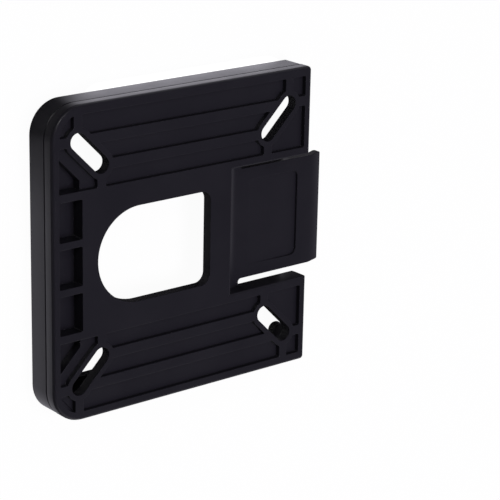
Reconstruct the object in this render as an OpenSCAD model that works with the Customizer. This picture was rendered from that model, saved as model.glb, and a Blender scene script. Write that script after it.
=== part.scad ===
// Boat seat mount: the upper half of a quick-release seat mount, moulded in one
// piece. A ribbed square plate bolts under a boat seat through four diagonal
// slots, slides sideways over a flat pedestal plate and is held by a sprung
// tongue. Origin: middle of the square, on the underside of the two lips.
// +Z is up, towards the seat. +X is the open end, where the tongue stands out.
// The model is symmetric about Y = 0.

/* [Body] */

// Side of the square body
body_w = 190; // [150:1:230]
// Height from the underside of the lips to the seat face
body_h = 23.4; // [18:0.1:32]
// Thickness of the ribbed plate
plate_t = 7; // [5:0.1:10]
// Fillet round the edge of the seat face
edge_r = 2; // [0.5:0.1:2]
// Corner radius at the closed end
closed_r = 20; // [10:0.5:30]
// Corner radius at the open end
open_r = 2.4; // [2.2:0.1:6]
// Height of the mould's parting line on the outer walls
parting_z = 15.1; // [8:0.1:20]
// How far the wall below the parting line stands in
parting_step = 0.2; // [0:0.05:0.5]

/* [Rims and ribs] */

// Rim along the two long sides
side_rim = 5.6; // [3:0.1:10]
// Rim at the closed end
closed_rim = 4.6; // [3:0.1:10]
// Rim at the open end
open_rim = 4.9; // [3:0.1:10]
// Half width of the flush panel down the middle
panel_y = 44.8; // [35:0.1:60]
// Top of the pocket row next to the panel
row3_y = 54.7; // [46:0.1:65]
// Bottom of the middle pocket row
row2_y0 = 61; // [50:0.1:70]
// Top of the middle pocket row
row2_y1 = 71.1; // [60:0.1:80]
// Bottom of the pocket row beside the rim
row1_y = 77.3; // [70:0.1:85]
// Half length of the pocket row beside the rim
row1_x = 74.5; // [60:0.1:85]
// Half length of the middle pocket row
row2_x = 67; // [55:0.1:75]
// Half length of the pocket row next to the panel
row3_x = 58.2; // [45:0.1:70]
// Start of the side pockets
side_x = 64.3; // [50:0.1:80]
// Start of the corner pockets
corner_x = 80.3; // [70:0.1:88]
// Depth of the shallow pockets
pocket_d = 3; // [1:0.1:5]
// Corner radius of the shallow pockets
pocket_r = 0.8; // [0.4:0.1:2]
// Arc that trims the corner pockets at the closed end
corner_arc_r = 15; // [10:0.1:25]

/* [Deep pockets at the closed end] */

// Inner side of the deep pockets
deep_x = 74.7; // [60:0.1:85]
// Depth of the deep pockets
deep_d = 11; // [6:0.1:14]
// Spacing of the three middle pockets
deep_pitch = 28; // [20:0.1:35]
// Width of each middle pocket
deep_w = 23.6; // [15:0.1:30]
// Where the slanted pocket starts on its inner side
slant_y0 = 50.2; // [46:0.1:60]
// Where the slanted pocket ends at the rim
slant_y1 = 66.1; // [55:0.1:75]
// Wall and floor round the deep pockets
deep_wall = 2; // [1.5:0.1:4]

/* [Seat bolt slots] */

// Slot centre from the middle, along X
slot_x = 69.3; // [50:0.1:80]
// Slot centre from the middle, along Y
slot_y = 65.84; // [50:0.1:80]
// Half distance between the two end arcs
slot_half = 11.14; // [5:0.1:20]
// Half width of the slot
slot_r = 5.2; // [3:0.1:7]
// Half width of the flush boss round the slot
boss_r = 8.6; // [6:0.1:12]

/* [Window in the middle] */

// Centre of the round end
window_x0 = -34.4; // [-50:0.1:-20]
// Straight end
window_x1 = 18; // [5:0.1:30]
// Radius of the round end, and half width of the window
window_r = 29.36; // [20:0.1:35]
// Corner radius at the straight end
window_corner_r = 6.5; // [2:0.1:10]

/* [Latch tongue] */

// Half width of the bay that the tongue lies in
bay_y = 39.6; // [30:0.1:43]
// Fillet along the bay's top edges
bay_r = 1.5; // [0.5:0.1:3]
// Where the flat panel ends above the root of the tongue
panel_x1 = 33; // [28:0.1:36]
// Rounding of the panel's end
step_r = 1.5; // [0.5:0.1:2.5]
// Radius of the curve from the panel down to the tongue
foot_r = 12; // [10:0.1:12]
// Drop from the seat face to the tongue
tongue_drop = 10.1; // [8:0.1:11]
// Thickness of the tongue
tongue_t = 4.7; // [3:0.1:6]
// Half width of the tongue
tongue_y = 35.2; // [25:0.1:37]
// Start of the cuts beside the tongue
cut_x = 48.3; // [47:0.1:55]
// Gap along the flexure line at the root
flex_gap = 0.5; // [0.3:0.05:0.6]
// Where the bevelled lip starts
bevel_x = 105; // [98:0.1:110]
// Middle of the lip's round nose
nose_x = 113.2; // [112:0.1:120]
// Drop from the seat face to the middle of the nose
nose_drop = 15.5; // [14:0.1:17]
// Radius of the nose
nose_r = 2.7; // [1.5:0.1:4]
// Where the hook under the lip starts
hook_x = 105.5; // [98:0.1:109]
// Corner radius at the tip, seen from above
tip_r = 2; // [1:0.1:5]
// Half width of the finger recess
recess_y = 27.3; // [15:0.1:30]
// Start of the finger recess, where its floor meets the tongue
recess_x0 = 55; // [52:0.1:70]
// End of the finger recess
recess_x1 = 94.3; // [80:0.1:100]
// Depth at the end of the finger recess
recess_d = 1.6; // [0.5:0.1:2.5]
// Corner radius of the finger recess
recess_r = 4; // [1:0.1:8]

/* [Channel underneath] */

// Half width of the channel between the side walls
channel_y = 88.5; // [80:0.1:90]
// Wall at the closed end
closed_wall = 5; // [4:0.1:8]
// Height of the two lips
lip_h = 6.1; // [4:0.1:8]
// Inner edge of the lips
lip_y = 75.6; // [65:0.1:80]
// Underside of the runners that the pedestal plate slides under
runner_z = 10; // [9:0.1:12]
// Thickness of the runners
runner_t = 3; // [2:0.1:5]
// Underside of the beam at the open end
beam_z = 13.9; // [11:0.1:16]
// Start of the relief cut in the lips
relief_x0 = 55; // [45:0.1:60]
// End of the relief cut in the lips, where the round lugs start
relief_x1 = 84.5; // [80:0.1:86]
// Corner radius of the lips
lip_r = 3.5; // [1:0.1:6]
// Corner radius of the lugs at the open end
lug_r = 5; // [2:0.1:5]
// Inner corner radius at the closed end
channel_r = 14; // [5:0.1:18]
// Fillet between the side walls and the plate
channel_fillet = 2; // [0.5:0.1:4]

/* [Colours] */

// Colour of the moulded body
body_color = "#2a2a2e"; // [#2a2a2e:Black, #4a4d52:Dark grey, #c9cacc:Light grey]
// Colour of the tongue
tongue_color = "#34343a"; // [#34343a:Black, #4a4d52:Dark grey, #c9cacc:Light grey]

/* [Hidden] */

$fn = 64;
over = 1;
half_w = body_w / 2;
plate_z = body_h - plate_t;
corner_c = half_w - closed_r;
open_c = half_w - open_r;
rim_y = half_w - side_rim;
rim_x0 = -half_w + closed_rim;
rim_x1 = half_w - open_rim;
wall_x = -half_w + closed_wall;
cut_r = (bay_y - tongue_y) / 2;
root_x = cut_x + cut_r;
tongue_x0 = root_x + flex_gap;
tongue_z = body_h - tongue_drop;
under_z = tongue_z - tongue_t;
foot_rise = foot_r + step_r - tongue_drop;
foot_x = panel_x1 + sqrt(pow(foot_r + step_r, 2) - pow(foot_rise, 2));
foot_z = tongue_z + foot_r;
arc_steps = 16;
bay_x0 = panel_x1 - 3;
bay_lap = 0.3;
nose = [nose_x, body_h - nose_drop];

// Rectangle with four rounded corners.
module round_rect(x0, y0, x1, y1, r) {
    translate([x0 + r, y0])
        square([x1 - x0 - 2 * r, y1 - y0]);
    translate([x0, y0 + r])
        square([x1 - x0, y1 - y0 - 2 * r]);
    for (x = [x0 + r, x1 - r], y = [y0 + r, y1 - r])
        translate([x, y])
            circle(r);
}

// What a rounded corner leaves of its square: the corner at the origin.
module corner_cove(r) {
    difference() {
        square(r);
        translate([r, r])
            circle(r);
    }
}

// Long round-ended shape on a slot's place, in the quarter with +X and +Y.
module slot_shape(r) {
    translate([slot_x, slot_y])
        rotate(45) {
            square([2 * slot_half, 2 * r], center = true);
            for (side = [-1, 1])
                translate([side * slot_half, 0])
                    circle(r);
        }
}

// Both halves along Y.
module both_sides() {
    children();
    mirror([0, 1, 0])
        children();
}

// Both halves along X.
module both_ends() {
    children();
    mirror([1, 0, 0])
        children();
}

// Half section of the blank, w wide: rounded top edge, parting step.
module wall_section(w) {
    square([w - parting_step, parting_z + over]);
    translate([0, parting_z])
        square([w, body_h - edge_r - parting_z]);
    square([w - edge_r, body_h]);
    translate([w - edge_r, body_h - edge_r])
        circle(edge_r);
}

// Solid blank of the body with the rounded edge of the seat face.
module blank() {
    // Cross bands, rounded along both long sides.
    translate([-corner_c, 0, 0])
        rotate([90, 0, 90])
            linear_extrude(corner_c + open_c) {
                wall_section(half_w);
                mirror([1, 0])
                    wall_section(half_w);
            }
    // Band at the closed end, between its corners.
    rotate([90, 0, 0])
        linear_extrude(2 * corner_c, center = true)
            mirror([1, 0])
                wall_section(half_w);
    // Band at the open end.
    rotate([90, 0, 0])
        linear_extrude(2 * open_c, center = true)
            wall_section(half_w);
    // Corners.
    both_sides() {
        translate([-corner_c, corner_c, 0])
            rotate(90)
                rotate_extrude(angle = 90, $fn = 96)
                    wall_section(closed_r);
        translate([open_c, open_c, 0])
            rotate_extrude(angle = 90)
                wall_section(open_r);
    }
}

// Shallow pockets of one quarter, before the bosses are left standing.
module quarter_pockets() {
    round_rect(corner_x, row1_y, rim_x1, rim_y, pocket_r);
    round_rect(side_x, panel_y, rim_x1, row2_y1, pocket_r);
}

// Outline of all the shallow pockets on the +Y half.
module half_pockets() {
    difference() {
        union() {
            round_rect(-row1_x, row1_y, row1_x, rim_y, pocket_r);
            round_rect(-row2_x, row2_y0, row2_x, row2_y1, pocket_r);
            round_rect(-row3_x, panel_y, row3_x, row3_y, pocket_r);
            quarter_pockets();
            closed_end_pockets();
        }
        both_ends()
            slot_shape(boss_r);
    }
}

// Side and corner pockets at the closed end, the corner trimmed by an arc.
module closed_end_pockets() {
    round_rect(rim_x0, panel_y, -side_x, row2_y1, pocket_r);
    intersection() {
        round_rect(rim_x0, row1_y, -corner_x, rim_y, pocket_r);
        translate([-corner_c, corner_c])
            circle(corner_arc_r, $fn = 96);
    }
}

// Deep pockets on the +Y half of the closed end.
module half_deep_pockets() {
    round_rect(rim_x0, deep_pitch - deep_w / 2, -deep_x, deep_pitch + deep_w / 2, pocket_r);
    polygon([
        [rim_x0, panel_y],
        [-deep_x, panel_y],
        [-deep_x, slant_y0],
        [rim_x0, slant_y1]
    ]);
}

// Pedestal-side box that closes the deep pockets from below, on the +Y half.
module half_deep_box() {
    slant_shift = deep_wall * sqrt(2);
    polygon([
        [wall_x - over, -over],
        [-deep_x + deep_wall, -over],
        [-deep_x + deep_wall, slant_y0 - deep_wall + slant_shift],
        [wall_x - over, slant_y1 + slant_shift]
    ]);
}

// Round-ended window seen from above.
module window_shape() {
    translate([window_x0, 0])
        circle(window_r, $fn = 128);
    translate([window_x0, -window_r])
        square([window_x1 - window_corner_r - window_x0, 2 * window_r]);
    translate([window_x0, -window_r + window_corner_r])
        square([window_x1 - window_x0, 2 * (window_r - window_corner_r)]);
    for (side = [-1, 1])
        translate([window_x1 - window_corner_r, side * (window_r - window_corner_r)])
            circle(window_corner_r);
}

// Space between the side walls, for the pedestal plate.
module channel() {
    intersection() {
        translate([wall_x, 0, 0])
            rotate([90, 0, 90])
                linear_extrude(body_w)
                    difference() {
                        translate([-channel_y, lip_h])
                            square([2 * channel_y, plate_z - lip_h]);
                        for (side = [0, 1])
                            mirror([side, 0])
                                translate([channel_y, plate_z])
                                    rotate(180)
                                        corner_cove(channel_fillet);
                    }
        linear_extrude(body_h)
            channel_plan();
    }
}

// Plan of the channel: rounded at the closed end, open at the other.
module channel_plan() {
    translate([wall_x + channel_r, -channel_y])
        square([body_w, 2 * channel_y]);
    translate([wall_x, -channel_y + channel_r])
        square([channel_r + over, 2 * (channel_y - channel_r)]);
    for (side = [-1, 1])
        translate([wall_x + channel_r, side * (channel_y - channel_r)])
            circle(channel_r);
}

// Gap between the lips, with the relief cut and the lips' rounded corners.
module lip_gap() {
    translate([wall_x + lip_r, -lip_y])
        square([body_w, 2 * lip_y]);
    translate([wall_x, -lip_y + lip_r])
        square([lip_r + over, 2 * (lip_y - lip_r)]);
    for (side = [0, 1])
        mirror([0, side]) {
            translate([wall_x + lip_r, lip_y - lip_r])
                circle(lip_r);
            translate([relief_x0, 0])
                square([relief_x1 - relief_x0, channel_y]);
            translate([relief_x1, lip_y])
                corner_cove(lug_r);
            translate([half_w, lip_y])
                mirror([1, 0])
                    corner_cove(lug_r);
            translate([relief_x0, lip_y])
                mirror([1, 0])
                    corner_cove(lip_r);
        }
}

// What stands down into the channel: deep-pocket box, runners and end beam.
module channel_ribs() {
    translate([0, 0, runner_z])
        linear_extrude(plate_z - runner_z + over)
            both_sides() {
                half_deep_box();
                translate([-deep_x, bay_y])
                    square([half_w + deep_x, runner_t]);
            }
    translate([rim_x1, -channel_y - over, beam_z])
        cube([open_rim, 2 * (channel_y + over), plate_z - beam_z + over]);
}

// Points along an arc round [x, z], from angle a0 to angle a1.
function arc_points(x, z, r, a0, a1) = [
    for (i = [0 : arc_steps])
        let (a = a0 + (a1 - a0) * i / arc_steps)
            [x + r * cos(a), z + r * sin(a)]
];

// Angle at which a line from point p touches the nose: above it for side 1.
function touch_angle(p, side) =
    let (d = nose - p)
        atan2(d[1], d[0]) + side * (asin(nose_r / norm(d)) + 90);

// Section of the curve from the panel down to the tongue.
module root_section() {
    meet = asin(foot_rise / (foot_r + step_r));
    under_r = foot_r + tongue_t;
    under_end = 180 + asin((foot_z - plate_z) / under_r);
    polygon(concat(
        [[bay_x0 - bay_lap, body_h]],
        arc_points(panel_x1, body_h - step_r, step_r, 90, meet),
        arc_points(foot_x, foot_z, foot_r, 180 + meet, 270),
        [[root_x, tongue_z], [root_x, under_z]],
        arc_points(foot_x, foot_z, under_r, 270, under_end),
        [[bay_x0 - bay_lap, plate_z]]
    ));
}

// Root of the tongue, as wide as the bay, with the cuts' round ends.
module tongue_root() {
    difference() {
        rotate([90, 0, 0])
            linear_extrude(2 * (bay_y + bay_lap), center = true)
                root_section();
        translate([0, 0, -over])
            linear_extrude(body_h + 2 * over)
                for (side = [-1, 1])
                    translate([root_x, side * (tongue_y + cut_r)])
                        circle(cut_r);
    }
}

// Bay that the tongue lies in, cut through the plate with filleted top edges.
module bay() {
    translate([bay_x0, -bay_y, -over])
        cube([body_w, 2 * bay_y, body_h + 2 * over]);
    translate([panel_x1, 0, 0])
        rotate([90, 0, 90])
            linear_extrude(body_w)
                for (side = [0, 1])
                    mirror([side, 0])
                        translate([bay_y, body_h])
                            mirror([0, 1])
                                corner_cove(bay_r);
}

module mount_plate() {
    color(body_color) {
        difference() {
            blank();
            difference() {
                channel();
                channel_ribs();
            }
            translate([0, 0, -over])
                linear_extrude(lip_h + over)
                    lip_gap();
            translate([0, 0, body_h - pocket_d])
                linear_extrude(pocket_d + over)
                    both_sides()
                        half_pockets();
            translate([0, 0, body_h - deep_d])
                linear_extrude(deep_d + over) {
                    both_sides()
                        half_deep_pockets();
                    round_rect(rim_x0, -deep_w / 2, -deep_x, deep_w / 2, pocket_r);
                }
            translate([0, 0, lip_h + over])
                linear_extrude(body_h)
                    both_sides()
                        both_ends()
                            slot_shape(slot_r);
            translate([0, 0, lip_h + over])
                linear_extrude(body_h)
                    window_shape();
            bay();
        }
        tongue_root();
    }
}

// Section of the free tongue: flat, with a bevelled lip and a hook under it.
module tongue_section() {
    bevel_end = touch_angle([bevel_x, tongue_z], 1);
    hook_end = touch_angle([hook_x, under_z], -1);
    polygon(concat(
        [[tongue_x0, tongue_z], [bevel_x, tongue_z]],
        arc_points(nose[0], nose[1], nose_r, bevel_end, hook_end),
        [[hook_x, under_z], [tongue_x0, under_z]]
    ));
}

module latch_tongue() {
    tip_x = nose_x + nose_r;
    color(tongue_color)
        difference() {
            intersection() {
                rotate([90, 0, 0])
                    linear_extrude(2 * tongue_y, center = true)
                        tongue_section();
                linear_extrude(body_h) {
                    translate([tongue_x0 - over, -tongue_y])
                        square([tip_x - tip_r - tongue_x0 + over, 2 * tongue_y]);
                    round_rect(root_x, -tongue_y, tip_x, tongue_y, tip_r);
                }
            }
            intersection() {
                rotate([90, 0, 0])
                    linear_extrude(2 * tongue_y, center = true)
                        polygon([
                            [recess_x0, tongue_z],
                            [recess_x1 + over, tongue_z - recess_d],
                            [recess_x1 + over, body_h],
                            [recess_x0, body_h]
                        ]);
                linear_extrude(body_h)
                    round_rect(recess_x0 - recess_r, -recess_y, recess_x1, recess_y, recess_r);
            }
        }
}

mount_plate();
latch_tongue();
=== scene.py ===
"""Boat seat mount: one black plastic moulding, dressed over its two CAD nodes."""
import math

import bmesh
import bpy
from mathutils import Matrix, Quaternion, Vector

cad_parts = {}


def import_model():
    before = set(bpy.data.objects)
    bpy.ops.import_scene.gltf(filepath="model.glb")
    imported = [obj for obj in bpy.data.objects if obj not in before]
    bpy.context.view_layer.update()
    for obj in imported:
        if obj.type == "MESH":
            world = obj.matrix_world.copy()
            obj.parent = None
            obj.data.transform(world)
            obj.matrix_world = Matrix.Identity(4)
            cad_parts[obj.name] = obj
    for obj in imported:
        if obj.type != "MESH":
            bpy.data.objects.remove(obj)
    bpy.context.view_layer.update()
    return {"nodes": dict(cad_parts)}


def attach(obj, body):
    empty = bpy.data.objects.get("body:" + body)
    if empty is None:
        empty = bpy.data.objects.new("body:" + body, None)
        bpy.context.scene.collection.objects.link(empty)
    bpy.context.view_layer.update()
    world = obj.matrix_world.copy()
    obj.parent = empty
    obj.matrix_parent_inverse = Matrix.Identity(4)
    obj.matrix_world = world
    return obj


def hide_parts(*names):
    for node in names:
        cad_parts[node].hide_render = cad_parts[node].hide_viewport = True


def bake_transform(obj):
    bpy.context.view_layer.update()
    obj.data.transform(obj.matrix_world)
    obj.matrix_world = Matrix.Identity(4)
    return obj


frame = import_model()
nodes = frame["nodes"]

# Places on the part, in metres, as in the CAD source.
BODY_H = 0.0234
HALF_W = 0.095
CORNER_C = 0.075                # centre of the two large corners, in x and in y
PARTING_Z = 0.0151
ROOT_X = 0.0505                 # where the tongue leaves the panel
TONGUE_X0 = 0.0510              # where the CAD node of the tongue starts
TONGUE_Y = 0.0352               # half width of the tongue
TONGUE_TOP = BODY_H - 0.0101
BEND_END_X = 0.0615             # where the bending part of the tongue ends
BEND_CUTS = 7

# Deep pockets at the closed end: floors raised towards the height that the photo shows.
DEEP_Z = 0.0124
DEEP_MAX_X = -0.070
DEEP_RAISE = 0.0020

# Mould edges: size of the small rounding on every corner sharper than EDGE_ANGLE.
EDGE_R = 0.00035
EDGE_SEGMENTS = 2
EDGE_PROFILE = 0.5                  # round, as a circle
EDGE_ANGLE = math.radians(24)
PLANE_ANGLE = math.radians(0.6)     # faces flatter to each other than this become one
CREASE_ANGLE = math.radians(35)     # smooth shading stops above this
NORMAL_WEIGHT = 80                  # how far large faces decide the shading normals

# Witness groove along the mould's parting line, on the three walls that show it.
GROOVE_HALF = 0.0008
GROOVE_D = 0.0007
GROOVE_DROP = 0.0005
GROOVE_END = 0.092

# Rounding between the walls and the face, cut straight over its lower half.
RIM_R = 0.0020
CHORD_ANGLE = math.radians(46)

# Tolerances, in metres.
TOUCH = 2e-5                    # two coordinates count as the same
HAIR = 1e-5                     # clearly past a line
SLACK = 1e-4                    # still inside a region
SIDE_SLACK = 2e-4               # the same, for the sides of the tongue
WALL_SKIN = 3e-4                # depth of the walls' own vertices, with the parting step
LEDGE_SKIN = 1e-3               # depth of the parting step after the groove is cut
WELD = 2e-6                     # vertices this close become one
CUT_DIST = 1e-7                 # a cut passes through vertices this close to it

# Direction along which vertices, edges and faces are put in order.
SORT_WAY = Vector((1, 0.7321, 0.4142))

# Black plastic: darkest and lightest colour, roughness range, and the two textures.
DARK = (0.0084, 0.0080, 0.0112, 1)
LIGHT = (0.0116, 0.0110, 0.0146, 1)
ROUGHNESS = (0.31, 0.37)
CLOUD_SPAN = (0.35, 0.65)       # part of the cloud noise that the roughness follows
PLASTIC_IOR = 1.5
GRAIN = {"Scale": 2600, "Detail": 3, "Roughness": 0.6}
CLOUD = {"Scale": 38, "Detail": 4, "Roughness": 0.55}
GRAIN_BUMP = {"Strength": 0.25, "Distance": 0.00004}
CLOUD_BUMP = {"Strength": 0.15, "Distance": 0.0002}

# Floor: its size, its colour under the lamps, and the share of it that glows.
WHITE = (1, 1, 1, 1)
FLOOR_SIZE = 6
FLOOR_PLACE = (0.4, -0.2, -0.0004)
FLOOR_COLOR = (0.86, 0.86, 0.86, 1)
FLOOR_TINT = (0.985, 0.96, 1.07, 1)
GLOW_SHARE = 0.96

# The floor's glow in reflections: a painted reflection, with painted shade under the part,
# at the open end and at the closed corner. Levels go from the first value to the second over a
# span of the distance from the body's middle, rounded as its corners are, or of x or y.
UP, DOWN = (0, 1), (1, 0)
FOOT_SPAN = (HALF_W - 0.002, HALF_W)
LEFT_SPAN, LEFT_GLOW = (HALF_W + 0.003, HALF_W + 0.017), (0.53, 0.27)
LEFT_SHADE_Y, LEFT_SHADE = (0.020, 0.080), (1, 0.28)
BACK_SPAN, BACK_GLOW = (HALF_W, HALF_W + 0.007), (1.30, 0.84)
BACK_X, BACK_Y = (-HALF_W - 0.001, -HALF_W + 0.003), (-0.060, 0)
NEAR_SPAN = (HALF_W + 0.020, HALF_W + 0.034)
FAR_X, FAR_GLOW = (-HALF_W, -HALF_W + 0.020), (0.04, 0.24)
CORNER_X, CORNER_Y = (-0.080, -0.045), (0.066, 0.080)
OPEN_X, OPEN_Y, OPEN_SHADE = (0.080, 0.100), (0.050, 0.085), (0, 0.88)

# Studio in reflections: a level that grows towards one side, and a band at the horizon.
STUDIO_TINT = (0.90, 0.87, 1, 1)
STUDIO_SIDE = (0.744, 0.62, 0.248)
STUDIO_LEVEL = (0.04, 0.09)
HORIZON_Z, HORIZON_LEVEL = (0.10, 0.50), (0.35, 0)
HORIZON_X = (0.4, 0.8)

# Lamps, all aimed at the origin: name, place, size, power, colour, seen in reflections.
LAMPS = (
    ("sheen_light", (0.9, -0.5, 1.2), (1.6, 1.6), 0.08, (0.84, 0.80, 1), True),
    ("soft_light", (0.3, -0.16, 3), (1.6, 1.6), 84, (0.95, 0.90, 1), False),
    ("low_light", (0.1, -1.4, 0.6), (2.0, 1.4), 4, (1, 1, 1), True),
    ("under_light", (0.1, -0.1, -1.5), (1.2, 1.2), 12, (1, 1, 1), True),
    ("edge_light", (-0.68, 0.98, 1.12), (0.3, 0.3), 4, (1, 1, 1), True),
)

# Camera at the photograph's angle, fitted to the body's straight edges.
LENS, SENSOR = 148.0533, 36
CLIP = (0.01, 20)
EYE = (-0.71050353, 0.37556495, 0.94236834)
EYE_TURN = (0.9297881, -0.1514908, -0.3326832, -0.0432023)


def close(a, b):
    return abs(a - b) < TOUCH


def cut(bm, faces, place, way):
    """Adds a line of vertices to the faces, where a plane crosses them."""
    # A dict and not a set: its order is the same in each run.
    around = dict.fromkeys(item for f in faces for item in (*f.edges, *f.verts))
    bmesh.ops.bisect_plane(bm, geom=[*faces, *around], dist=CUT_DIST,
                           plane_co=place, plane_no=way)


def merged_moulding():
    """Both nodes as one bmesh, joined across the line where the tongue flexes."""
    bm = bmesh.new()
    bm.from_mesh(nodes["mount_plate"].data)
    bm.from_mesh(nodes["latch_tongue"].data)
    bmesh.ops.remove_doubles(bm, verts=bm.verts, dist=WELD)
    for v in bm.verts:
        if close(v.co.z, DEEP_Z) and v.co.x < DEEP_MAX_X:
            v.co.z += DEEP_RAISE

    def at_end(v, x):
        return close(v.co.x, x) and abs(v.co.y) < TONGUE_Y + SLACK

    ends = [f for f in bm.faces
            if any(all(at_end(v, x) for v in f.verts) for x in (ROOT_X, TONGUE_X0))]
    bmesh.ops.delete(bm, geom=ends, context="FACES")
    root = [v for v in bm.verts if at_end(v, ROOT_X)]
    for v in bm.verts:
        if close(v.co.x, TONGUE_X0):
            v.co = min(root, key=lambda r: (r.co - v.co).length).co
    bmesh.ops.remove_doubles(bm, verts=bm.verts, dist=WELD)
    return bm


def cut_across(bm, x):
    """Adds a line of vertices across the tongue, over the part where it flexes."""
    faces = [f for f in bm.faces
             if max(v.co.x for v in f.verts) > ROOT_X + HAIR
             and max(abs(v.co.y) for v in f.verts) < TONGUE_Y + SIDE_SLACK]
    cut(bm, faces, (x, 0, 0), (1, 0, 0))


def wall_depth(co):
    """How far a point lies inside the outer walls, and the way inwards there."""
    side = 1 if co.y > 0 else -1
    if co.x < -CORNER_C and abs(co.y) > CORNER_C:
        out = Vector((co.x + CORNER_C, co.y - side * CORNER_C, 0))
        return HALF_W - CORNER_C - out.length, -out.normalized()
    if HALF_W + co.x < HALF_W - abs(co.y):
        return HALF_W + co.x, Vector((1, 0, 0))
    return HALF_W - abs(co.y), Vector((0, -side, 0))


def by_parting_line(co):
    """Whether a point lies on the outside of the body, within the groove's height."""
    at_open_end = HALF_W - LEDGE_SKIN < co.x < HALF_W + SLACK
    outside = wall_depth(co)[0] < LEDGE_SKIN or at_open_end
    return outside and abs(co.z - PARTING_Z) < GROOVE_HALF + SLACK


def flatten_rim(bm):
    """Straightens the part of the outer rounding that starts on the walls."""
    low = BODY_H - RIM_R
    end_in, end_up = RIM_R * (1 - math.cos(CHORD_ANGLE)), RIM_R * math.sin(CHORD_ANGLE)
    for v in bm.verts:
        depth, inwards = wall_depth(v.co)
        on_rim = v.co.z >= low + HAIR and -SLACK <= depth <= RIM_R and v.co.x <= GROOVE_END
        up, out = v.co.z - low, RIM_R - depth
        if on_rim and math.atan2(up, out) < CHORD_ANGLE and close(math.hypot(up, out), RIM_R):
            v.co += inwards * (up / end_up * end_in - depth)


def groove_walls(bm):
    """Cuts a fine V along the parting line of the outer walls."""
    cuts = [((0, 0, PARTING_Z + side * GROOVE_HALF), (0, 0, 1)) for side in (-1, 1)]
    cuts += [((GROOVE_END + side * GROOVE_HALF, 0, 0), (1, 0, 0)) for side in (-1, 1)]
    for place, way in cuts:
        cut(bm, [f for f in bm.faces if all(wall_depth(v.co)[0] < WALL_SKIN for v in f.verts)],
            place, way)
    line = [v for v in bm.verts if close(v.co.z, PARTING_Z) and wall_depth(v.co)[0] < WALL_SKIN]
    on_line = set(line)
    bmesh.ops.triangulate(bm, faces=[f for f in bm.faces if on_line.issuperset(f.verts)])
    moved = [v for v in line if v.co.x < GROOVE_END]
    for v in moved:
        depth, inwards = wall_depth(v.co)
        v.co += inwards * (GROOVE_D - depth) - Vector((0, 0, GROOVE_DROP))
    bmesh.ops.remove_doubles(bm, verts=moved, dist=WELD)


def round_edges(bm):
    """Rounds every sharp edge, except the fine groove at the parting line."""
    bmesh.ops.dissolve_limit(bm, angle_limit=PLANE_ANGLE, use_dissolve_boundaries=False,
                             verts=bm.verts, edges=bm.edges)
    flatten_rim(bm)
    groove_walls(bm)
    edges = [e for e in bm.edges
             if len(e.link_faces) == 2 and e.calc_face_angle(0) >= EDGE_ANGLE
             and not all(by_parting_line(v.co) for v in e.verts)]
    bmesh.ops.bevel(bm, geom=edges, offset=EDGE_R, offset_type="OFFSET", affect="EDGES",
                    segments=EDGE_SEGMENTS, profile=EDGE_PROFILE, clamp_overlap=False)
    for v in bm.verts:
        v.co.z = min(max(v.co.z, 0), BODY_H)


def on_tongue(face):
    """Whether a face belongs to the free part of the tongue."""
    c = face.calc_center_median()
    return c.x > ROOT_X and abs(c.y) < TONGUE_Y + SLACK and c.z < TONGUE_TOP + SLACK


def at_rim_start(v):
    """Whether a vertex lies where the outer rounding leaves the walls."""
    return close(v.co.z, BODY_H - RIM_R) and wall_depth(v.co)[0] < SLACK


def mesh_object(name, bm, keep):
    """An object with those faces of bm for which keep(face) is true."""
    part = bm.copy()
    drop = [f for f in part.faces if not keep(f)]
    bmesh.ops.delete(part, geom=drop, context="FACES")
    # The bevel's faces come in another order on each run, so all is sorted by place.
    part.verts.sort(key=lambda v: v.co.dot(SORT_WAY))
    part.edges.sort(key=lambda e: (e.verts[0].co + e.verts[1].co).dot(SORT_WAY))
    part.faces.sort(key=lambda f: f.calc_center_median().dot(SORT_WAY))
    for f in part.faces:
        f.smooth = True
    for e in part.edges:
        flat = len(e.link_faces) == 2 and e.calc_face_angle(0) < CREASE_ANGLE
        e.smooth = flat and not all(at_rim_start(v) for v in e.verts)
    mesh = bpy.data.meshes.new(name)
    part.to_mesh(mesh)
    part.free()
    obj = bpy.data.objects.new(name, mesh)
    bpy.context.scene.collection.objects.link(obj)
    weights = obj.modifiers.new("weights", "WEIGHTED_NORMAL")
    weights.keep_sharp = True
    weights.weight = NORMAL_WEIGHT
    return obj


def node(nt, kind, sockets=None, **values):
    """A new shader node with the given properties and input values."""
    n = nt.nodes.new(kind)
    for key, value in values.items():
        setattr(n, key, value)
    for key, value in (sockets or {}).items():
        n.inputs[key].default_value = value
    return n


def mix_color(nt, share, first, second):
    """A colour between first and second; share is linked to the output of a node."""
    n = node(nt, "ShaderNodeMix", {6: first, 7: second}, data_type="RGBA")
    nt.links.new(share, n.inputs[0])
    return n.outputs[2]


def blend_range(nt, source, span, levels, curve="SMOOTHSTEP"):
    """Goes from the first level to the second while source crosses the span."""
    n = node(nt, "ShaderNodeMapRange", {"From Min": span[0], "From Max": span[1],
                                        "To Min": levels[0], "To Max": levels[1]},
             interpolation_type=curve)
    nt.links.new(source, n.inputs["Value"])
    return n.outputs["Result"]


def maths(nt, operation, *terms):
    """One step of arithmetic; each term is a number or the output of a node."""
    n = node(nt, "ShaderNodeMath", operation=operation)
    for socket, term in zip(n.inputs, terms):
        if isinstance(term, (int, float)):
            socket.default_value = term
        else:
            nt.links.new(term, socket)
    return n.outputs[0]


def times(nt, a, b):
    return maths(nt, "MULTIPLY", a, b)


def one_minus(nt, a):
    return maths(nt, "SUBTRACT", 1, a)


def new_material(name):
    """An empty node material: its tree and the output node."""
    mat = bpy.data.materials.new(name)
    mat.use_nodes = True
    mat.node_tree.nodes.clear()
    return mat, mat.node_tree, node(mat.node_tree, "ShaderNodeOutputMaterial")


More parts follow.
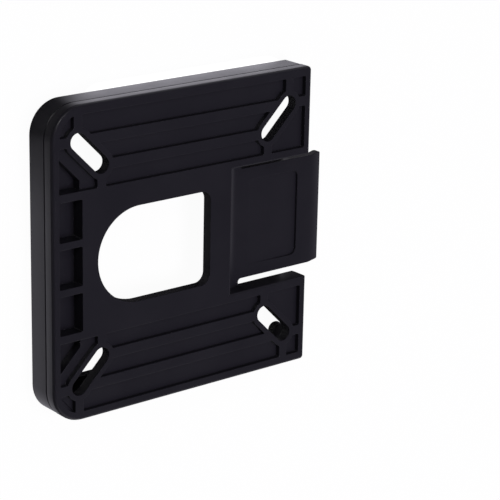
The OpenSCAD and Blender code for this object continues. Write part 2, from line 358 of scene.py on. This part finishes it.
def plastic():
    """Black satin plastic with a fine spark-eroded texture and faint flow marks."""
    mat, nt, out = new_material("black_plastic")
    bsdf = node(nt, "ShaderNodeBsdfPrincipled", {"IOR": PLASTIC_IOR})
    nt.links.new(bsdf.outputs[0], out.inputs[0])
    place = node(nt, "ShaderNodeTexCoord").outputs["Object"]
    grain, cloud = (node(nt, "ShaderNodeTexNoise", kind) for kind in (GRAIN, CLOUD))
    for n in (grain, cloud):
        nt.links.new(place, n.inputs["Vector"])
    clouds = cloud.outputs["Fac"]
    nt.links.new(mix_color(nt, clouds, DARK, LIGHT), bsdf.inputs["Base Color"])
    nt.links.new(blend_range(nt, clouds, CLOUD_SPAN, ROUGHNESS, "LINEAR"),
                 bsdf.inputs["Roughness"])
    bump = node(nt, "ShaderNodeBump", GRAIN_BUMP)
    nt.links.new(grain.outputs["Fac"], bump.inputs["Height"])
    wave = node(nt, "ShaderNodeBump", CLOUD_BUMP)
    nt.links.new(clouds, wave.inputs["Height"])
    nt.links.new(bump.outputs["Normal"], wave.inputs["Normal"])
    nt.links.new(wave.outputs["Normal"], bsdf.inputs["Normal"])
    return mat


def floor_glow(nt):
    """Painted reflection: how bright reflections see each place of the floor beside the part.
    """
    place = node(nt, "ShaderNodeSeparateXYZ")
    nt.links.new(node(nt, "ShaderNodeNewGeometry").outputs["Position"], place.inputs[0])
    x, y = place.outputs["X"], place.outputs["Y"]
    squares = []
    for along in (x, y):
        past = maths(nt, "SUBTRACT", maths(nt, "ABSOLUTE", along), CORNER_C)
        past = maths(nt, "MAXIMUM", past, 0)
        squares.append(times(nt, past, past))
    beyond = maths(nt, "ADD", maths(nt, "SQRT", maths(nt, "ADD", *squares)), CORNER_C)

    left = times(nt, blend_range(nt, beyond, LEFT_SPAN, LEFT_GLOW),
                blend_range(nt, y, LEFT_SHADE_Y, LEFT_SHADE))
    back = blend_range(nt, beyond, BACK_SPAN, BACK_GLOW)
    behind = times(nt, blend_range(nt, x, BACK_X, UP), blend_range(nt, y, BACK_Y, UP))
    level = maths(nt, "ADD", times(nt, back, behind), times(nt, left, one_minus(nt, behind)))
    level = times(nt, level, blend_range(nt, beyond, NEAR_SPAN, DOWN))
    level = maths(nt, "MAXIMUM", level, blend_range(nt, x, FAR_X, FAR_GLOW))

    open_end = times(nt, blend_range(nt, x, OPEN_X, OPEN_SHADE),
                    blend_range(nt, y, OPEN_Y, DOWN))
    corner = times(nt, blend_range(nt, y, CORNER_Y, UP), blend_range(nt, x, CORNER_X, DOWN))
    # Painted shade in the reflection: at the open end, at the closed corner and under the part.
    for shade in (one_minus(nt, open_end), one_minus(nt, corner),
                  blend_range(nt, beyond, FOOT_SPAN, UP)):
        level = times(nt, level, shade)
    return level


def floor():
    """White to the camera, a shaped glow in reflections (a painted reflection), and clear from
    below.
    """
    bpy.ops.mesh.primitive_plane_add(size=FLOOR_SIZE, location=FLOOR_PLACE)
    plane = bpy.context.object
    plane.name = "floor"
    mat, nt, out = new_material("floor")
    path = node(nt, "ShaderNodeLightPath").outputs
    glow = node(nt, "ShaderNodeEmission")
    nt.links.new(mix_color(nt, path["Is Camera Ray"], FLOOR_TINT, WHITE), glow.inputs["Color"])
    nt.links.new(maths(nt, "MAXIMUM", path["Is Camera Ray"], floor_glow(nt)),
                 glow.inputs["Strength"])
    diffuse = node(nt, "ShaderNodeBsdfDiffuse", {"Color": FLOOR_COLOR})
    clear = node(nt, "ShaderNodeBsdfTransparent")
    side = node(nt, "ShaderNodeNewGeometry").outputs["Backfacing"]
    seen = maths(nt, "MAXIMUM", path["Is Camera Ray"], path["Is Glossy Ray"])
    through = maths(nt, "MAXIMUM", side, path["Is Shadow Ray"])
    above, whole = (node(nt, "ShaderNodeMixShader") for _ in range(2))
    for mixer, share, first, second in (
            (above, times(nt, seen, GLOW_SHARE), diffuse, glow),
            (whole, through, above, clear)):
        nt.links.new(share, mixer.inputs[0])
        nt.links.new(first.outputs[0], mixer.inputs[1])
        nt.links.new(second.outputs[0], mixer.inputs[2])
    nt.links.new(whole.outputs[0], out.inputs[0])
    plane.data.materials.append(mat)


def world():
    """White to the camera; dim in reflections, and brighter at the right and low down."""
    studio = bpy.data.worlds.new("studio")
    bpy.context.scene.world = studio
    studio.use_nodes = True
    nt = studio.node_tree
    back = nt.nodes["Background"]
    camera_ray = node(nt, "ShaderNodeLightPath").outputs["Is Camera Ray"]
    nt.links.new(mix_color(nt, camera_ray, STUDIO_TINT, WHITE), back.inputs["Color"])
    way = node(nt, "ShaderNodeTexCoord").outputs["Generated"]
    side = node(nt, "ShaderNodeVectorMath", {1: STUDIO_SIDE}, operation="DOT_PRODUCT")
    split = node(nt, "ShaderNodeSeparateXYZ")
    for n in (side, split):
        nt.links.new(way, n.inputs[0])
    soft = blend_range(nt, side.outputs["Value"], (-1, 1), STUDIO_LEVEL)
    low = times(nt, blend_range(nt, split.outputs["Z"], HORIZON_Z, HORIZON_LEVEL),
               blend_range(nt, split.outputs["X"], HORIZON_X, UP))
    nt.links.new(maths(nt, "MAXIMUM", camera_ray, maths(nt, "ADD", soft, low)),
                 back.inputs["Strength"])


def area_lamp(name, place, size, power, color, reflected):
    light = bpy.data.lights.new(name, "AREA")
    light.color = color
    light.shape = "RECTANGLE"
    light.size, light.size_y = size
    light.energy = power
    obj = bpy.data.objects.new(name, light)
    obj.location = place
    obj.rotation_euler = (-Vector(place)).to_track_quat("-Z", "Y").to_euler()
    obj.visible_glossy = reflected
    bpy.context.scene.collection.objects.link(obj)


def camera():
    cam = bpy.data.cameras.new("camera")
    cam.lens = LENS
    cam.sensor_width = SENSOR
    cam.clip_start, cam.clip_end = CLIP
    eye = bpy.data.objects.new("camera", cam)
    eye.location = EYE
    eye.rotation_mode = "QUATERNION"
    eye.rotation_quaternion = Quaternion(EYE_TURN)
    bpy.context.scene.collection.objects.link(eye)
    bpy.context.scene.camera = eye


# The moulding, as one skin in two pieces: the body, and the tongue with lines across its
# flexing part.
moulding = merged_moulding()
round_edges(moulding)
for step in range(1, BEND_CUTS + 1):
    cut_across(moulding, ROOT_X + (BEND_END_X - ROOT_X) * step / BEND_CUTS)
cut_across(moulding, ROOT_X)
body = mesh_object("moulded_plate", moulding, lambda f: not on_tongue(f))
tongue = mesh_object("moulded_tongue", moulding, on_tongue)
moulding.free()
black = plastic()
for obj, slot in ((body, "moulded_body"), (tongue, "moulded_tongue")):
    obj.data.materials.append(black)
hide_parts("mount_plate")
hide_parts("latch_tongue")
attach(body, "plate")
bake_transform(tongue)

floor()
world()
for lamp in LAMPS:
    area_lamp(*lamp)
camera()
bpy.context.scene.view_settings.view_transform = "Standard"
